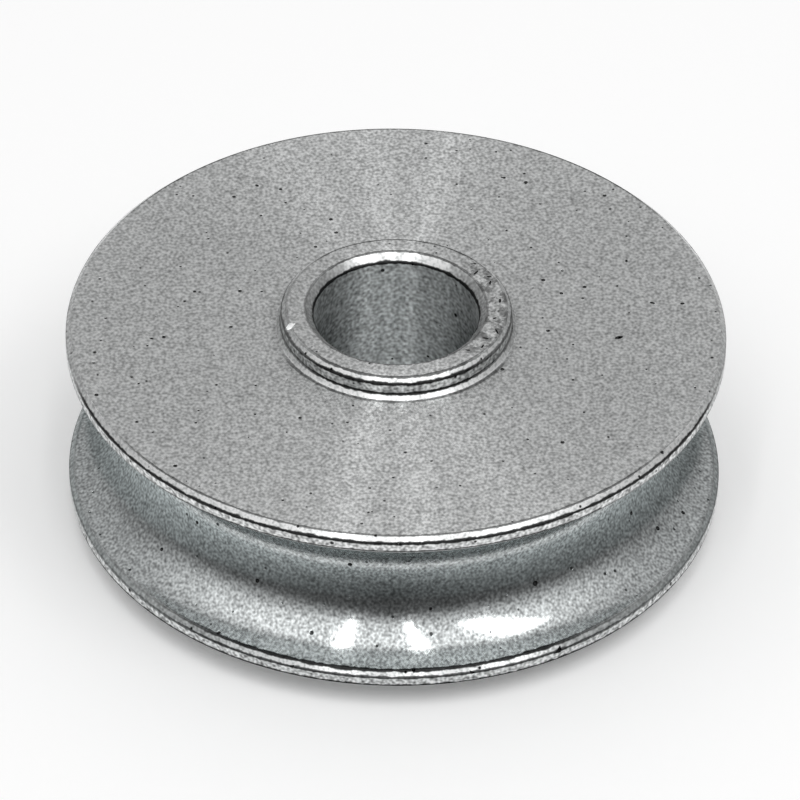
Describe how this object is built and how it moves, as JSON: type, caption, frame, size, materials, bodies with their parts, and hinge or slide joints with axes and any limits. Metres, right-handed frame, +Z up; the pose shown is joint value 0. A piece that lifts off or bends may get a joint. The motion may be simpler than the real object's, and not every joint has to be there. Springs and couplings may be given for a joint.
{
  "type": "wire rope sheave",
  "caption": "Turned steel sheave with a rounded rope groove, thin lips, short hub bosses on both sides and a plain bore.",
  "frame": {"origin": "on the axis of rotation, in the plane of the lower hub end, on which the sheave stands", "axes": "+Z up along the axis of rotation; X and Y lie in the plane of the side faces and are alike"},
  "size_m": [0.08, 0.08, 0.0288],
  "materials": {
    "turned_steel": "turned bare steel, satin side faces with radial sheen, smoother bright groove and bore"
  },
  "bodies": {
    "root": {"sheave": "turned_steel"}
  },
  "joints": []
}
